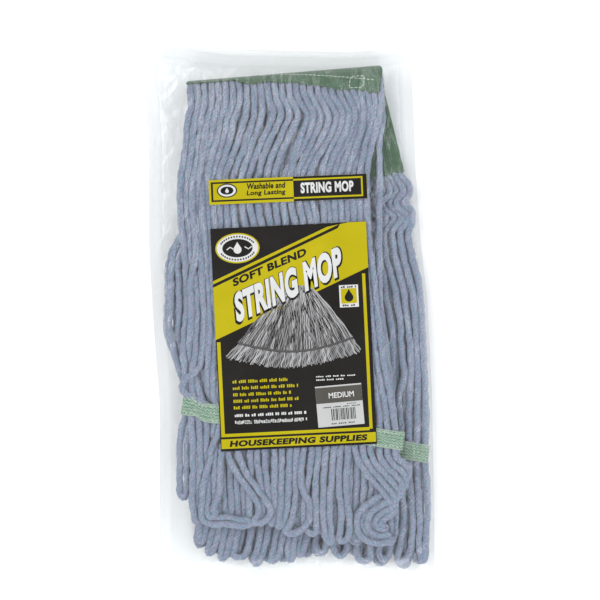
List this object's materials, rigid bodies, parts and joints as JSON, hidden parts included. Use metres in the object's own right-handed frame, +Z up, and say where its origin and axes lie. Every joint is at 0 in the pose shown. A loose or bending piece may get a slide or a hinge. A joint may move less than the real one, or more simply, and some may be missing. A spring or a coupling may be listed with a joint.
{
  "type": "string mop head",
  "caption": "Looped-end wet mop head of blended yarn with a wide mesh headband and tail tapes, folded flat in a clear film bag that slides off.",
  "frame": {"origin": "centre of the base of the pack's bounding box, on the surface that the pack lies on", "axes": "+X to the right across the pack, +Y along the pack from the bag's open mouth to its sealed end and the mop's headband, +Z up out of the printed face"},
  "size_m": [0.246, 0.458, 0.0413],
  "materials": {
    "yarn": "matte",
    "headband": "matte",
    "tail_tape": "matte",
    "thread": "matte",
    "film": "gloss",
    "black_print": "gloss",
    "yellow_print": "gloss",
    "sticker": "satin"
  },
  "bodies": {
    "mop": {"headband_mesh": "headband", "headband_lining": "tail_tape", "fold_yarn_outer": "yarn", "fold_yarn_middle": "yarn", "fold_yarn_inner": "yarn", "front_yarn_top": "yarn", "front_yarn_middle": "yarn", "front_yarn_inner": "yarn", "back_yarn_inner": "yarn", "back_yarn_middle": "yarn", "back_yarn_bottom": "yarn", "front_loops_top": "yarn", "front_loops_middle": "yarn", "front_loops_inner": "yarn", "back_loops_inner": "yarn", "back_loops_middle": "yarn", "back_loops_bottom": "yarn", "front_tail_tape_outer": "tail_tape", "front_tail_tape_inner": "tail_tape", "back_tail_tape_inner": "tail_tape", "back_tail_tape_outer": "tail_tape", "headband_stitching": "thread", "front_tail_stitching": "thread", "back_tail_stitching": "thread"},
    "bag": {"bag_front_film": "film", "bag_back_film": "film", "main_panel": "black_print", "header_panel": "yellow_print", "size_sticker": "sticker"}
  },
  "joints": [
    {"name": "bag_slide", "type": "slide", "parent": "mop", "child": "bag", "axis": [0, 1, 0], "range_m": [0, 0.48]}
  ]
}
